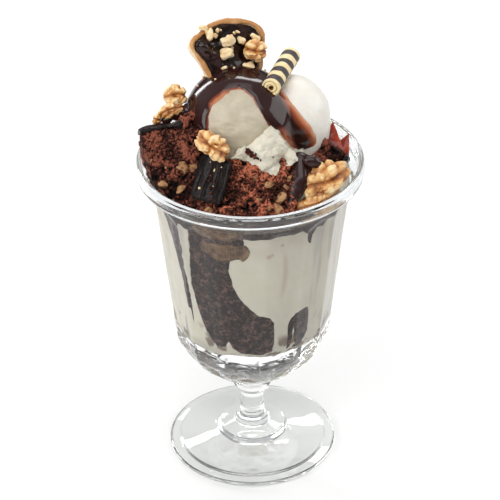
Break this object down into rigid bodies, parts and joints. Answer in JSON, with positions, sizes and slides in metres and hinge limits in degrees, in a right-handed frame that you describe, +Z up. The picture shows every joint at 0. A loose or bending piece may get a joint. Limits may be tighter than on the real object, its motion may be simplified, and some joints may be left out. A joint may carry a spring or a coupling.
{
  "type": "ice cream sundae in a footed glass",
  "caption": "Ice cream sundae with brownies, walnuts, dark sauce, a small chocolate tart and a rolled wafer, in a panelled clear glass goblet on a round foot.",
  "frame": {"origin": "centre of the glass foot's underside, on the surface it stands on", "axes": "+Z up along the glass's axis, front of the sundae towards -Y, +X to the right seen from the front"},
  "size_m": [0.104, 0.104, 0.2189],
  "materials": {
    "clear_glass": "clear pressed glass, smooth, with hollow panels outside",
    "ice_cream": "vanilla ice cream, softly shining where it melts, with fine scoop marks",
    "light_ice_cream": "paler vanilla ice cream, smooth",
    "brownie_crumb": "dark reddish brown cake crumb, matt and porous",
    "dark_icing": "set dark chocolate icing, half gloss",
    "walnut": "golden walnut kernel with brown skin in the folds",
    "tart_pastry": "baked shortcrust, golden brown",
    "tart_chocolate": "glossy dark chocolate filling",
    "striped_wafer": "cream wafer with dark spiral stripes",
    "chocolate_sauce": "very dark glossy sauce, red-brown where thin"
  },
  "bodies": {
    "root": {"goblet": "clear_glass", "bowl_cream": "ice_cream", "bowl_brownie": "brownie_crumb", "bowl_brownie_chunk": "brownie_crumb", "bowl_brownie_top": "brownie_crumb", "walnut_glass_upper": "walnut", "walnut_glass_lower": "walnut", "scoop_front": "ice_cream", "scoop_side": "light_ice_cream", "brownie_left": "brownie_crumb", "icing_left": "dark_icing", "brownie_front": "brownie_crumb", "icing_front": "dark_icing", "brownie_right": "brownie_crumb", "icing_right": "dark_icing", "tart_crust": "tart_pastry", "tart_filling": "tart_chocolate", "rolled_wafer": "striped_wafer", "set_sauce_left": "chocolate_sauce", "set_sauce_right": "chocolate_sauce", "walnut_front_right": "walnut", "walnut_under": "walnut", "walnut_centre": "walnut", "walnut_back_left": "walnut", "walnut_flat_left": "walnut", "walnut_corner_left": "walnut", "walnut_by_tart": "walnut"}
  },
  "joints": []
}
